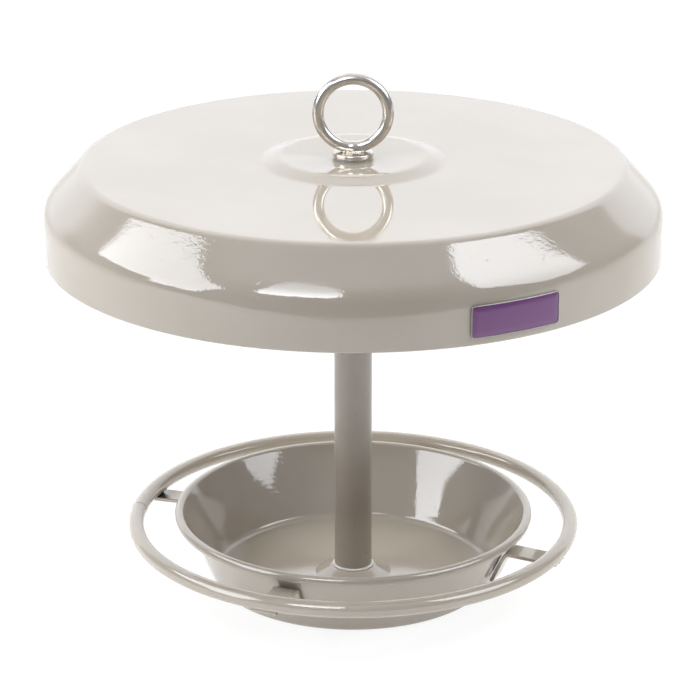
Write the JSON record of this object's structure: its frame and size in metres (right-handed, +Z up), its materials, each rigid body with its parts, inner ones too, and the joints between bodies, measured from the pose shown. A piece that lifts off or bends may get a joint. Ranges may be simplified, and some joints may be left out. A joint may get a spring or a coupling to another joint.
{
  "type": "hanging bird feeder",
  "caption": "Round enamelled steel bird feeder: wide pressed roof with a hanging eye on a post, over an open seed bowl with a rod perch carried round it on bent strips.",
  "frame": {"origin": "centre of the bowl's underside, on the surface that the feeder stands on", "axes": "+Z up along the post to the eye; -Y is the front, with the badge to its right"},
  "size_m": [0.32, 0.32, 0.2781],
  "materials": {
    "gloss_enamel": "warm grey gloss enamel with fine orange peel",
    "satin_enamel": "warm grey satin enamel",
    "bright_plate": "bright plated, polished",
    "zinc_steel": "zinc plated",
    "nylon": "natural nylon",
    "violet_badge": "bare violet enamel with a bright edge"
  },
  "bodies": {
    "feeder": {"roof": "gloss_enamel", "badge": "violet_badge", "post_tube": "satin_enamel", "post_top_plug": "zinc_steel", "post_bottom_plug": "zinc_steel", "foot_washer": "nylon", "bowl": "gloss_enamel", "base_washer": "zinc_steel", "base_bolt": "zinc_steel", "perch_hoop": "gloss_enamel", "perch_bracket_1": "gloss_enamel", "perch_bracket_2": "gloss_enamel", "perch_bracket_3": "gloss_enamel", "perch_bracket_4": "gloss_enamel"},
    "washer": {"eye_seal": "nylon"},
    "eye": {"eye_ring": "bright_plate", "eye_bolt": "bright_plate"}
  },
  "joints": [
    {"name": "eye_rise", "type": "slide", "parent": "feeder", "child": "washer", "axis": [0, 0, 1], "range_m": [0, 0.0125]},
    {"name": "eye_turn", "type": "hinge", "parent": "washer", "child": "eye", "pos_m": [0, 0, 0.2343], "axis": [0, 0, 1], "range_deg": [0, 3600]}
  ],
  "couplings": [
    {"joint": "eye_rise", "follows": "eye_turn", "m_per_rad": 0.00019894}
  ]
}
